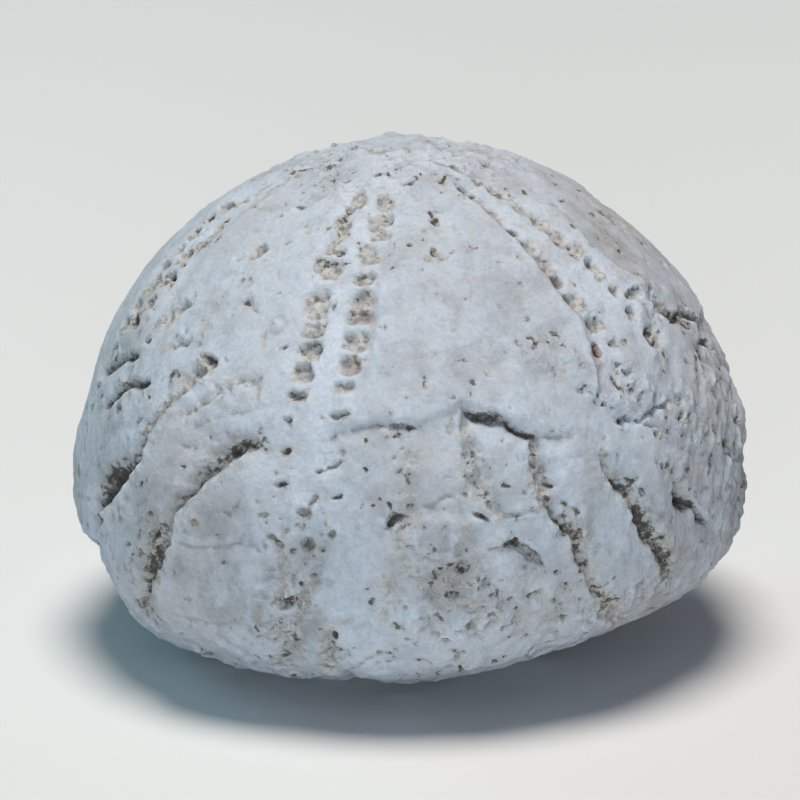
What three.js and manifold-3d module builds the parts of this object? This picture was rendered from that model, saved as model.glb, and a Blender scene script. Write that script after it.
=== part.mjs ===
// Fossil sea urchin: a domed stone with a small, nearly flat underside, leaning a few degrees on the
// surface that it rests on. It is one piece. Five bands, the ambulacra, run down from the top like
// meridians. The lower half is cut by grooves that end on the underside, which has the mouth in its
// front half. The vent is a dent low on the back. Millimetres, +Z up, origin under the middle of the
// stone's bounding box. Azimuth 0 faces -Y and grows towards +X; latitude 0 is the widest level.
import * as THREE from "three";
import { mergeVertices } from "three/addons/utils/BufferGeometryUtils.js";
import Module from "manifold-3d";

const wasm = await Module();
wasm.setup();

// The smooth dome: a superellipse swept round, longer from front to back than across.
const RADIUS = 20.87;
const DOME_HEIGHT = 20.7; // widest level to the top
const DOME_POWER = 1.9;
const BELLY_DEPTH = 11.2; // widest level to the middle of the underside, before it is flattened
const BELLY_POWER = 2.47;
const LENGTH_RATIO = 1.05;
const FRONT_AZIMUTH = -14; // the way that the long axis and the front ambulacrum face
const LEAN = 4.4; // degrees, about Y, towards -X
const REST_LEVEL = 10.7; // widest level above the surface that the stone rests on

const MESH_DETAIL = 18; // each edge of the starting icosahedron is cut into this many pieces, plus one

// Centre line of each ambulacrum: [azimuth near the top, azimuth at the widest level and below].
const AMBULACRA = [
  [-8, -17],
  [44, 55],
  [122, 128],
  [-150, -155],
  [-80, -68],
];
const BAND = { halfWidth: 2.3, depth: 0.3, top: 84, bottom: -50 };

// Broad bulges and, with a negative height, hollows that turn the smooth dome into this stone's uneven
// outline: [azimuth, latitude, half size across, half size along the meridian, height].
const SWELLS = [
  [86, -18, 8, 3.8, 0.45],
  [76, -27, 6, 3, 0.5],
  [90, -4, 6, 3.6, -0.35],
  [95, 19, 6, 4, -0.25],
  [102, 36, 7, 5, -0.25],
  [112, 43, 3, 2.5, -0.3],
  [141, 71, 2.5, 2.5, -0.5],
  [44, -32, 6, 3, -0.2],
  [28, -38, 6, 3, -0.5],
  [-89, -12, 7, 1.9, -1.25],
  [-80, -27, 6, 2.6, 0.45],
  [-91, 5, 5, 3.2, 0.2],
  [-94, 15, 5, 3, -0.25],
];

// Grooves in the stone: points of [azimuth, latitude], then half width and depth in millimetres.
const GROOVES = [
  { halfWidth: 0.9, depth: 0.9, path: [[-41, 34], [-46, 27], [-51, 19], [-55, 12], [-61, 6], [-66, -1]] },
  { halfWidth: 0.9, depth: 1.0, path: [[-24, 20], [-31, 19], [-38, 12], [-42, 5], [-47, -4], [-52, -9]] },
  { halfWidth: 0.8, depth: 0.7, path: [[-54, 28], [-61, 26], [-66, 24], [-70, 20]] },
  { halfWidth: 0.7, depth: 0.8, path: [[11, 26], [16, 23], [21, 21], [24, 18]] },
  { halfWidth: 0.9, depth: 0.5, path: [[11, 23], [11, 16], [12, 10], [13, 5]] },
  { halfWidth: 0.8, depth: 0.7, path: [[23, 18], [23, 8], [28, 0], [32, -9], [34, -17]] },
  { halfWidth: 0.9, depth: 0.7, path: [[35, 14], [39, 6], [43, -1], [47, -9], [49, -14]] },
  { halfWidth: 0.8, depth: 1.2, path: [[50, 5], [54, 0], [59, -5]] },
  { halfWidth: 0.9, depth: 0.8, path: [[73, 32], [77, 27], [81, 21]] },
];

// Away from the front, each panel between two ambulacra has three grooves down its lower part.
const BACK_PANELS = [88, -118, 165];
const BACK_GROOVE_OFFSETS = [-15, 1, 16];
const BACK_GROOVE = { top: 16, bottom: -30, halfWidth: 0.9, depth: 0.8 };

// Rounded dents: azimuth, latitude, half sizes across and along the meridian, depth.
const MOUTH = { azimuth: FRONT_AZIMUTH, latitude: -68, halfAcross: 3.0, halfAlong: 2.3, depth: 1.3 };
const VENT = { azimuth: FRONT_AZIMUTH + 180, latitude: -12, halfAcross: 1.8, halfAlong: 2.2, depth: 1.0 };

const STONE = { color: 0xb9c2ca, roughness: 0.9, metalness: 0 };

const rad = THREE.MathUtils.degToRad;

function direction(azimuth, latitude) {
  const a = rad(azimuth);
  const l = rad(latitude);
  return new THREE.Vector3(Math.cos(l) * Math.sin(a), -Math.cos(l) * Math.cos(a), Math.sin(l));
}

// Distance from the middle of the widest level to the smooth surface, along a unit vector.
function smoothRadius(unit) {
  const front = direction(FRONT_AZIMUTH, 0);
  const along = (unit.x * front.x + unit.y * front.y) / LENGTH_RATIO;
  const across = unit.x * front.y - unit.y * front.x;
  const flat = Math.hypot(along, across) / RADIUS;
  const above = unit.z >= 0;
  const power = above ? DOME_POWER : BELLY_POWER;
  const rise = Math.abs(unit.z) / (above ? DOME_HEIGHT : BELLY_DEPTH);
  return (flat ** power + rise ** power) ** (-1 / power);
}

function surfacePoint(azimuth, latitude) {
  const unit = direction(azimuth, latitude);
  return unit.clone().multiplyScalar(smoothRadius(unit));
}

function bandPath([topAzimuth, lowAzimuth]) {
  const steps = 14;
  const points = [];
  for (let i = 0; i <= steps; i++) {
    const latitude = THREE.MathUtils.lerp(BAND.top, BAND.bottom, i / steps);
    const share = THREE.MathUtils.smoothstep(-latitude, -BAND.top, 0);
    points.push([THREE.MathUtils.lerp(topAzimuth, lowAzimuth, share), latitude]);
  }
  return { path: points, halfWidth: BAND.halfWidth, depth: BAND.depth };
}

function backGrooves() {
  const { top, bottom, halfWidth, depth } = BACK_GROOVE;
  const middle = (top + bottom) / 2;
  return BACK_PANELS.flatMap((panel) =>
    BACK_GROOVE_OFFSETS.map((offset) => ({
      path: [top, middle, bottom].map((latitude) => [panel + offset, latitude]),
      halfWidth,
      depth,
    })),
  );
}

function toCuts(groove) {
  const points = groove.path.map(([azimuth, latitude]) => surfacePoint(azimuth, latitude));
  const segments = points.slice(1).map((end, i) => new THREE.Line3(points[i], end));
  return { ...groove, segments };
}

const CUTS = [...AMBULACRA.map(bandPath), ...GROOVES, ...backGrooves()].map(toCuts);

// How far the grooves sink the surface at a point.
function grooveDepth(point) {
  const nearest = new THREE.Vector3();
  let sunk = 0;
  for (const { segments, halfWidth, depth } of CUTS) {
    let distance = Infinity;
    for (const segment of segments) {
      segment.closestPointToPoint(point, true, nearest);
      distance = Math.min(distance, nearest.distanceTo(point));
    }
    sunk = Math.max(sunk, depth * Math.exp(-((distance / halfWidth) ** 2)));
  }
  return sunk;
}

// Height of a rounded bump at a point, 1 at its middle and fading to 0 past its half sizes.
function bump(point, azimuth, latitude, halfAcross, halfAlong) {
  const across = direction(azimuth + 90, 0);
  const offset = point.clone().sub(surfacePoint(azimuth, latitude));
  const u = offset.dot(across);
  const v = Math.sqrt(Math.max(0, offset.lengthSq() - u * u));
  return Math.exp(-((u / halfAcross) ** 2) - (v / halfAlong) ** 2);
}

function swellHeight(point) {
  return SWELLS.reduce((sum, [azimuth, latitude, halfAcross, halfAlong, height]) => {
    return sum + height * bump(point, azimuth, latitude, halfAcross, halfAlong);
  }, 0);
}

function dentDepth(point, { azimuth, latitude, halfAcross, halfAlong, depth }) {
  return depth * bump(point, azimuth, latitude, halfAcross, halfAlong);
}

// A closed mesh without seams as a solid that can be cut.
function solidFrom(geometry) {
  const plain = geometry.clone();
  plain.deleteAttribute("normal");
  plain.deleteAttribute("uv");
  const merged = mergeVertices(plain, 1e-5);
  const vertProperties = new Float32Array(merged.getAttribute("position").array);
  const triVerts = new Uint32Array(merged.index.array);
  return new wasm.Manifold(new wasm.Mesh({ numProp: 3, vertProperties, triVerts }));
}

function geometryFrom(solid) {
  const mesh = solid.getMesh();
  const geometry = new THREE.BufferGeometry();
  geometry.setAttribute("position", new THREE.BufferAttribute(mesh.vertProperties, 3));
  geometry.setIndex(new THREE.BufferAttribute(mesh.triVerts, 1));
  return geometry;
}

// The stone about the middle of its widest level, already leaning, before its underside is flattened.
function leaningStone() {
  const sphere = new THREE.IcosahedronGeometry(1, MESH_DETAIL);
  const position = sphere.getAttribute("position");
  const lean = new THREE.Matrix4().makeRotationY(-rad(LEAN));
  const point = new THREE.Vector3();
  for (let i = 0; i < position.count; i++) {
    point.fromBufferAttribute(position, i).normalize();
    const radius = smoothRadius(point);
    const surface = point.clone().multiplyScalar(radius);
    const sunk = grooveDepth(surface) + dentDepth(surface, MOUTH) + dentDepth(surface, VENT);
    point.multiplyScalar(radius + swellHeight(surface) - sunk).applyMatrix4(lean);
    position.setXYZ(i, point.x, point.y, point.z);
  }
  return solidFrom(sphere);
}

// Everything below the level that the stone rests on.
function ground() {
  const size = 4 * RADIUS;
  const box = new THREE.BoxGeometry(size, size, size);
  box.translate(0, 0, -REST_LEVEL - size / 2);
  return solidFrom(box);
}

function fossilStone() {
  const geometry = geometryFrom(leaningStone().subtract(ground()));
  geometry.computeBoundingBox();
  const box = geometry.boundingBox;
  const middle = box.getCenter(new THREE.Vector3());
  geometry.translate(-middle.x, -middle.y, -box.min.z);
  geometry.computeVertexNormals();
  return geometry;
}

const stone = new THREE.Mesh(fossilStone(), new THREE.MeshStandardMaterial(STONE));
stone.name = "sea_urchin_stone";

const fossil = new THREE.Group();
fossil.name = "fossil_sea_urchin";
fossil.add(stone);

export default fossil;
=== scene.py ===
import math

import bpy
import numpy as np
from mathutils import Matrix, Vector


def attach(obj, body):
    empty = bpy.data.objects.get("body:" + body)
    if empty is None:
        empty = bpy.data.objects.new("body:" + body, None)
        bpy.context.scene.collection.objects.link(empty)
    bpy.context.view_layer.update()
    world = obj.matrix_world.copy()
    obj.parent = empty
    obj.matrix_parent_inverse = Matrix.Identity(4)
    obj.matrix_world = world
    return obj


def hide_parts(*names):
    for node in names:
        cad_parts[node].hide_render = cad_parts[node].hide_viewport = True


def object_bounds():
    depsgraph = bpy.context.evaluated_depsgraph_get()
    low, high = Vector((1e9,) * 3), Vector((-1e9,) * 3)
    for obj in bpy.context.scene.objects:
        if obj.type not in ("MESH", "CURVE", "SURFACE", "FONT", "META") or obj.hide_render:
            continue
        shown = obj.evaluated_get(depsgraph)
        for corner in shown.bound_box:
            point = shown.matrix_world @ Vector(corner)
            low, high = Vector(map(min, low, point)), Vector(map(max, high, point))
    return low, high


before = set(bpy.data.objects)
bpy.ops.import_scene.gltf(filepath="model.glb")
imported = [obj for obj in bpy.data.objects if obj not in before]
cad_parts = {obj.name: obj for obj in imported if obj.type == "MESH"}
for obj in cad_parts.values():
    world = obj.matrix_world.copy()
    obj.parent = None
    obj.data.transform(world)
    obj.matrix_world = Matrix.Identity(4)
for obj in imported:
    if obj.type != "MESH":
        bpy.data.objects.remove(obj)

# Fossil sea urchin: the finished surface of one domed stone.
#
# The stone is a smooth body, a swept superellipse that leans a few degrees, with relief added along each
# line from its centre: pits, furrows, cracks, ledges and lumps. Places on it are given as azimuth and
# latitude in degrees, as on a globe whose poles are the top of the dome and the middle of the underside:
# azimuth 0 is the front, -Y, and grows towards +X. Functions take sizes and depths in millimetres and
# amounts from 0 to 1. The rows that hundredths() reads hold them as whole hundredths. The finished mesh
# is in metres.

CAD_NODE = "sea_urchin_stone"
cad_low, cad_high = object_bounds()

MM = 0.001

# The smooth body, as in the CAD source.
RADIUS = 20.87
DOME_HEIGHT = 20.7
DOME_POWER = 1.9
BELLY_DEPTH = 11.2
BELLY_POWER = 2.47
LENGTH_RATIO = 1.05
FRONT_AZIMUTH = -14
LEAN = 4.4
REST_LEVEL = 10.7  # height of the body's centre above its flat
AXIS = (0.21, 0.03)  # where the body's centre stands in the shared frame

GRID = 210  # cells along each edge of the cube that the fine mesh is blown up from
FRONT_PULL = 0.13  # how far the mesh's points crowd towards the front
TRIANGLES = 197_000  # how many are left when the fine mesh is thinned
FADE_REACH = 2.6  # how many half sizes away a soft-edged shape is still worked out

# hollow is painted shade; of the others, the dark sediment mask also holds painted shadow, the pale clean
# mask painted highlight, and green partly painted teal shade.
MASKS = ("pit", "dirt_and_shadow", "hollow", "clean_and_highlight", "rough", "stain", "rust", "green")


# ---------------------------------------------------------------- places on the body


def unit(azimuth, latitude):
    """Unit vectors from the body's centre. Either angle may be an array."""
    a, l = np.radians(azimuth), np.radians(latitude)
    return np.stack([np.cos(l) * np.sin(a), -np.cos(l) * np.cos(a), np.sin(l) + 0 * a], -1)


def smooth_radius(direction):
    """Distance from the centre to the smooth body."""
    front = unit(FRONT_AZIMUTH, 0)
    along = (direction[..., 0] * front[0] + direction[..., 1] * front[1]) / LENGTH_RATIO
    across = direction[..., 0] * front[1] - direction[..., 1] * front[0]
    flat = np.hypot(along, across) / RADIUS
    above = direction[..., 2] >= 0
    power = np.where(above, DOME_POWER, BELLY_POWER)
    rise = np.abs(direction[..., 2]) / np.where(above, DOME_HEIGHT, BELLY_DEPTH)
    return (flat**power + rise**power) ** (-1 / power)


def place(azimuth, latitude):
    """The points of the smooth body there."""
    direction = unit(np.asarray(azimuth, float), np.asarray(latitude, float))
    return direction * smooth_radius(direction)[..., None]


def smoothstep(value, low, high):
    """Eases from 0 at low to 1 at high."""
    share = np.clip((value - low) / (high - low), 0, 1)
    return share * share * (3 - 2 * share)


def add_object(name, data):
    """A new object in the scene."""
    thing = bpy.data.objects.new(name, data)
    bpy.context.scene.collection.objects.link(thing)
    return thing


def through(points):
    """A smooth curve through rows of numbers, as a denser list of rows."""
    steps = 6
    rows = np.asarray(points, float)
    padded = np.vstack([2 * rows[0] - rows[1], rows, 2 * rows[-1] - rows[-2]])
    out = []
    for a, b, c, d in zip(padded, padded[1:], padded[2:], padded[3:]):
        for t in np.arange(steps) / steps:
            out.append(b + 0.5 * t * (c - a + t * (2 * a - 5 * b + 4 * c - d + t * (3 * (b - c) + d - a))))
    return np.array([*out, rows[-1]])


# ---------------------------------------------------------------- noise


def lump_noise(points, size, seed):
    """Smooth noise from -1 to 1 whose lumps are about size across."""
    side = 32
    rng = np.random.default_rng(seed)
    table = rng.uniform(-1, 1, (side, side, side))
    turn, _ = np.linalg.qr(rng.normal(size=(3, 3)))
    p = points @ turn / size + rng.uniform(0, side, 3)
    cell = np.floor(p).astype(int)
    f = p - cell
    f = f * f * f * (f * (6 * f - 15) + 10)
    total = np.zeros(len(points))
    for corner in range(8):
        bits = np.array([corner & 1, corner >> 1 & 1, corner >> 2 & 1])
        weight = np.prod(np.where(bits, f, 1 - f), axis=1)
        at = (cell + bits) % side
        total += weight * table[at[:, 0], at[:, 1], at[:, 2]]
    return total * 1.6


def rough_noise(points, size, seed, octaves=3, fade=0.55):
    """Several sizes of lump noise on top of each other, each half the size of the last."""
    total = np.zeros(len(points))
    for octave in range(octaves):
        total += fade**octave * lump_noise(points, size / 2**octave, seed + 31 * octave)
    return total


# ---------------------------------------------------------------- relief


class Relief:
    """Heights and painted masks over a set of directions from the body's centre."""

    def __init__(self, directions):
        self.unit = directions
        self.base = directions * smooth_radius(directions)[:, None]
        wander = [rough_noise(self.base, 1.0, seed, 2, 0.7) for seed in (11, 12, 13)]
        # Shapes are measured from nudged points, which makes their edges ragged.
        self.worn = self.base + 0.075 * np.stack(wander, -1)
        # Where sediment has fallen out.
        self.gaps = np.clip(0.5 + rough_noise(self.base, 1.1, 14, 2, 0.7), 0, 1)
        self.azimuth = np.degrees(np.arctan2(directions[:, 0], -directions[:, 1]))
        self.latitude = np.degrees(np.arcsin(np.clip(directions[:, 2], -1, 1)))
        self.raised = np.zeros(len(directions))
        self.sunk = np.zeros(len(directions))
        self.masks = {name: np.zeros(len(directions)) for name in MASKS}

    def paint(self, name, where, amount):
        """Paints a mask, leaving what is already stronger."""
        self.masks[name][where] = np.maximum(self.masks[name][where], amount)

    def sink(self, where, depth):
        """Sinks points to a depth, leaving what is already deeper."""
        self.sunk[where] = np.maximum(self.sunk[where], depth)

    def near(self, centre, reach):
        offset = self.worn - centre
        return np.flatnonzero(np.einsum("ij,ij->i", offset, offset) < reach * reach)

    def patch(self, azimuth, latitude, across, along, turn=0):
        """Points near a place, and their offsets in half sizes across and along a turned ellipse."""
        centre = place(azimuth, latitude)
        where = self.near(centre, FADE_REACH * max(across, along))
        east = unit(azimuth + 90, 0)
        up = place(azimuth, latitude + 1) - place(azimuth, latitude - 1)
        up /= np.linalg.norm(up)
        offset = self.worn[where] - centre
        e, u = offset @ east, offset @ up
        c, s = math.cos(math.radians(turn)), math.sin(math.radians(turn))
        return where, (c * e + s * u) / across, (c * u - s * e) / along

    def pit(self, azimuth, latitude, across, along, depth, dirt_and_shadow, turn=0, rust=0.0, lidded=0.0):
        """A shallow dish with a ragged wall. lidded makes its upper wall sheer and its lower one gentle."""
        where, u, v = self.patch(azimuth, latitude, across, along, turn)
        d = (np.abs(u) ** 2.4 + np.abs(v) ** 2.4) ** (1 / 2.4)
        dish = 1 - smoothstep(d, 0.55 * (1 - lidded * np.clip(0.4 - v, 0, 1)), 1.15)
        self.sink(where, 1.15 * depth * dish * (1 + 0.4 * max(lidded, 0.3) * np.clip(v, -1, 1)))
        self.raised[where] += 0.1 * depth * np.exp(-(((d - 1.3) / 0.25) ** 2))
        self.paint("pit", where, 1 - smoothstep(d, 0.6, 1.3))
        small = 1 - smoothstep(min(across, along), 0.3, 0.55)
        # Painted shadow: the dark grows near the rim of the upper wall, which light from above leaves in
        # shade.
        wall = smoothstep(d, 0.3, 0.85) * np.clip(0.5 + 0.9 * v, 0, 1)
        soft = small * (1 - 0.5 * self.gaps[where])
        self.paint("dirt_and_shadow", where, dirt_and_shadow * dish * (soft + (1 - small) * (0.3 + 0.7 * wall)))
        self.paint("rust", where, rust * dish)

    def along_path(self, path, reach):
        """Points near a path of rows [azimuth, latitude, half width, depth]: where they are, their signed
        distance from it (positive on the right of the way it runs, seen from outside), half width, depth
        and how far along it they are, from 0 to 1."""
        rows = through(path)
        line = place(rows[:, 0], rows[:, 1])
        middle = (line.min(0) + line.max(0)) / 2
        where = self.near(middle, np.linalg.norm(line - middle, axis=1).max() + reach)
        points = self.worn[where]
        best = np.full(len(where), np.inf)
        side, width, depth, share = (np.zeros(len(where)) for _ in range(4))
        count = len(line) - 1
        for i in range(count):
            step = line[i + 1] - line[i]
            offset = points - line[i]
            t = np.clip(offset @ step / (step @ step), 0, 1)
            gap = offset - t[:, None] * step
            distance = np.linalg.norm(gap, axis=1)
            closer = distance < best
            best[closer] = distance[closer]
            right = np.cross(step, line[i])
            side[closer] = np.sign(gap[closer] @ right)
            mixed = rows[i] + t[closer, None] * (rows[i + 1] - rows[i])
            width[closer], depth[closer] = mixed[:, 2], mixed[:, 3]
            share[closer] = (i + t[closer]) / count
        keep = best < reach
        return where[keep], (best * side)[keep], width[keep], depth[keep], share[keep]

    def groove(self, path, steep=0, dirt_and_shadow=0.7, tan=0.6, green=0.0, lip=0.06, rust=0.0):
        """A furrow along a path. steep -1 or 1 makes its left or right wall sheer and the other one
        gentle."""
        widest = max(row[2] for row in path)
        where, s, width, depth, _ = self.along_path(path, 3.2 * widest + 1.2)
        width = np.maximum(width, 0.02)
        x = s / width
        sheer = np.clip(x * steep, 0, None)
        gentle = np.clip(-x * steep, 0, None) if steep else np.abs(x)
        hollow = np.exp(-((sheer / 0.85) ** 4) - (gentle / 1.15) ** 2.2)
        self.sink(where, depth * hollow)
        self.raised[where] += lip * np.minimum(depth, 1) * np.exp(-(((np.abs(x) - 1.6) / 0.45) ** 2))
        valley = np.exp(-((s / (1.3 * width + 0.45)) ** 2))
        self.raised[where] -= 0.25 * np.minimum(depth, 0.8) * valley
        self.paint("rough", where, 0.7 * valley * np.minimum(depth / 0.35, 1))
        self.paint("pit", where, tan * np.exp(-((np.abs(x) / 1.35) ** 2.2)))
        # Sediment, and painted shadow under the lip: the dark keeps to the floor and the sheer wall.
        core = hollow * np.exp(-((gentle / 1.05) ** 2)) * (1 - (1.15 - dirt_and_shadow) * self.gaps[where])
        self.paint("dirt_and_shadow", where, dirt_and_shadow * core * np.minimum(depth / 0.4, 1))
        self.paint("green", where, 0.4 * green * hollow)
        self.paint("rust", where, rust * hollow)

    def ledge(self, path, reach, edge=0.25, clean_and_highlight=0.0):
        """Raises the stone on the right of a path of rows [azimuth, latitude, height], fading out over
        its reach."""
        rows = [[azimuth, latitude, 0, height] for azimuth, latitude, height in path]
        where, s, _, height, share = self.along_path(rows, FADE_REACH * reach)
        ends = smoothstep(share, 0, 0.12) * (1 - smoothstep(share, 0.88, 1))
        step = smoothstep(s, -edge, edge)
        self.raised[where] += height * ends * step * np.exp(-((np.clip(s, 0, None) / reach) ** 2))
        # Painted shade at the foot of the step, and painted highlight along its raised edge.
        foot = ends * np.exp(-(((s + 0.25) / 0.3) ** 2))
        self.paint("hollow", where, 0.7 * foot)
        self.paint("clean_and_highlight", where, clean_and_highlight * ends * np.exp(-(((s - 0.3) / 0.6) ** 2)))

    def swell(self, azimuth, latitude, across, along, height, clean_and_highlight=0.0, turn=0):
        """A rounded lump, or with a negative height a rounded dent."""
        where, u, v = self.patch(azimuth, latitude, across, along, turn)
        bell = np.exp(-(u * u + v * v))
        self.raised[where] += height * bell
        self.paint("clean_and_highlight", where, clean_and_highlight * bell)

    def area(self, name, azimuth, latitude, across, along, amount, turn=0):
        """Paints a soft patch of a mask."""
        where, u, v = self.patch(azimuth, latitude, across, along, turn)
        self.paint(name, where, amount * np.exp(-((u * u + v * v) ** 1.5)))


# ---------------------------------------------------------------- the urchin's own pattern


# Centre line of each ambulacrum as [azimuth, latitude], and half the distance between its two columns
# of pits at the top, the middle and the foot of the dome.
AMBULACRA = {
    "front": [[-6, 76], [-9, 62], [-12.5, 47], [-14.5, 30], [-16.5, 10], [-17, -10], [-18, -40]],
    "right": [[40, 78], [45, 66], [47.5, 52], [51, 36], [54, 20], [56, 0], [58, -40]],
    "back_right": [[122, 78], [124, 60], [127, 40], [128, 15], [129, -10], [130, -40]],
    "back_left": [[-150, 78], [-153, 60], [-157, 40], [-158, 15], [-157, -10], [-156, -40]],
    "left": [[-84, 80], [-80, 66], [-76, 52], [-71, 40], [-72, 25], [-74, 5], [-75, -40]],
}
HALF_GAP = [[90, 0.35], [76, 0.75], [66, 0.95], [52, 1.35], [38, 1.6], [20, 1.62], [0, 1.5], [-40, 1.2]]

# Pits are rows of [azimuth, latitude, half across, half along, depth, dirt and painted shadow, turn, rust],
# where only the first two and the turn are in degrees, and what a row leaves out is 0.
# Pits of the front ambulacrum, its left column and then its right one.
FRONT_PITS = [
    [-13, 69, 50, 100, 22, 40], [-16, 66.5, 35, 50, 30, 80], [-16.5, 62.5, 60, 80, 28, 60],
    [-14.5, 59.5, 55, 50, 22, 60], [-17.5, 57, 50, 65, 18, 30], [-14.5, 55.5, 30, 30, 20, 70],
    [-19, 53, 55, 55, 24, 50], [-16, 52, 70, 70, 30, 60], [-18, 45, 90, 115, 42, 50],
    [-17.5, 40.5, 85, 65, 32, 50], [-17.5, 36.5, 80, 70, 36, 80], [-18.5, 32.5, 75, 75, 36, 75],
    [1, 76, 20, 30, 25, 100], [-5.5, 76.5, 25, 25, 18, 70, 20], [-1, 68.5, 50, 90, 22, 50],
    [0, 63.5, 50, 75, 34, 85], [-4.5, 62.5, 55, 70, 24, 40], [-2.5, 59.5, 60, 50, 24, 50],
    [-6.5, 56.5, 60, 50, 20, 40], [-5.5, 54.5, 80, 60, 24, 40], [-7, 50, 70, 55, 30, 60],
    [-7, 46, 85, 75, 36, 55, 0, 15], [-7.5, 42.5, 85, 65, 34, 55, 0, 30], [-8, 38, 90, 75, 38, 50, 0, 5],
    [-9, 34, 80, 65, 32, 60, 0, 35], [-10, 30, 80, 42, 20, 35, 0, 10],
]

# Pits of the right ambulacrum, its outer column and then its inner one.
RIGHT_PITS = [
    [44.5, 76.5, 30, 45, 12, 40], [48.5, 74, 35, 65, 24, 70, 0, 10], [55.5, 73.5, 15, 20, 15, 60],
    [49, 69, 45, 70, 30, 85], [51, 65.5, 40, 80, 28, 60, 0, 30], [52, 63, 20, 25, 18, 70],
    [52.5, 59.5, 50, 65, 18, 30], [53, 55.5, 60, 90, 26, 40], [53.5, 51.5, 65, 80, 32, 50, 0, 10],
    [55.5, 48, 65, 65, 30, 60], [56, 44, 50, 60, 34, 85], [55, 41.5, 40, 35, 20, 40],
    [56, 38.5, 40, 55, 26, 50, 0, 10], [61, 36.5, 85, 40, 28, 80], [56.5, 33.5, 60, 50, 32, 70],
    [58.5, 28.5, 85, 75, 42, 95], [32.5, 74.5, 35, 20, 14, 50, -10], [32.5, 71.5, 35, 35, 16, 50],
    [38, 68.5, 40, 45, 24, 60, 0, 10], [38, 66, 40, 35, 26, 80, 0, 40], [38, 63, 25, 35, 10, 20],
    [39.5, 60.5, 35, 65, 18, 45, 0, 20], [40, 55.5, 50, 35, 26, 70], [41.5, 52, 65, 60, 28, 50],
    [41.5, 47.5, 75, 75, 24, 30, 0, 5], [42.5, 44, 45, 55, 36, 90, 0, 50], [43, 39, 75, 70, 22, 20],
    [45, 34.5, 70, 55, 34, 60], [42, 30, 30, 55, 30, 70, 0, 90], [47, 30, 50, 25, 16, 50],
]

# Pits of the left ambulacrum, which the front view shows almost edge on.
LEFT_PITS = [
    [-66, 81.5, 25, 50, 25, 100], [-72.5, 77, 20, 40, 20, 90], [-77, 75, 20, 50, 20, 90],
    [-71, 73, 40, 45, 15, 50], [-77, 66.5, 35, 40, 25, 80], [-78.5, 63, 75, 55, 20, 50, 0, 10],
    [-82.5, 61, 30, 40, 20, 90], [-81, 60.5, 55, 60, 20, 60], [-63, 63, 45, 25, 15, 60],
    [-71, 59, 20, 20, 15, 80], [-69.5, 56.5, 70, 55, 16, 35, 0, 10], [-77, 54.5, 30, 35, 20, 90],
    [-68.5, 53.5, 55, 45, 20, 40, 0, 10], [-70.5, 52, 45, 55, 20, 40, 0, 10],
    [-73.5, 49, 75, 70, 24, 40, 0, 10], [-69.5, 48, 25, 20, 20, 70, 0, 20], [-70.5, 44.5, 95, 65, 30, 70],
    [-77, 42.5, 85, 60, 30, 70], [-71, 39.5, 55, 55, 40, 70], [-72.5, 35, 75, 50, 40, 90],
    [-61.5, 33.5, 50, 25, 40, 100], [-72, 37.5, 30, 35, 20, 40],
]

# Pits and slits that run in under an upper lip.
LIDDED_PITS = [
    [-19, 28.5, 65, 35, 50, 100], [-10.5, 25.5, 65, 25, 45, 100, -5], [-20, 24.5, 40, 25, 25, 55, -25, 10],
    [-20, 19.5, 30, 25, 30, 80, 0, 10], [-20.5, 14.5, 50, 20, 30, 85, -5],
    [-23.5, 9.5, 30, 15, 20, 60, 0, 10], [-21.5, 5.5, 70, 25, 45, 90, -45, 10],
    [-11.5, 17.5, 80, 15, 30, 55, 25], [-14, 16.5, 25, 20, 34, 95, 0, 10], [-11, 12.5, 40, 15, 32, 100, 20],
    [-15, 12, 45, 20, 30, 70, 50], [-16.5, 10, 50, 42, 42, 90, 15, 30], [-12, 6.5, 35, 25, 40, 100, 40, 10],
    [-16, 5, 50, 50, 50, 95, 20], [-15.5, 3, 20, 20, 25, 60], [-15.5, 0, 30, 20, 25, 70, 20],
    [-20.5, -5.5, 95, 42, 60, 100, 30], [-41.5, 54.5, 50, 70, 34, 75, -20, 5],
    [-40, 33, 100, 55, 40, 75, -20], [56.5, 14.5, 55, 20, 30, 90, 15], [71, 5.5, 115, 40, 50, 100],
]

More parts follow.
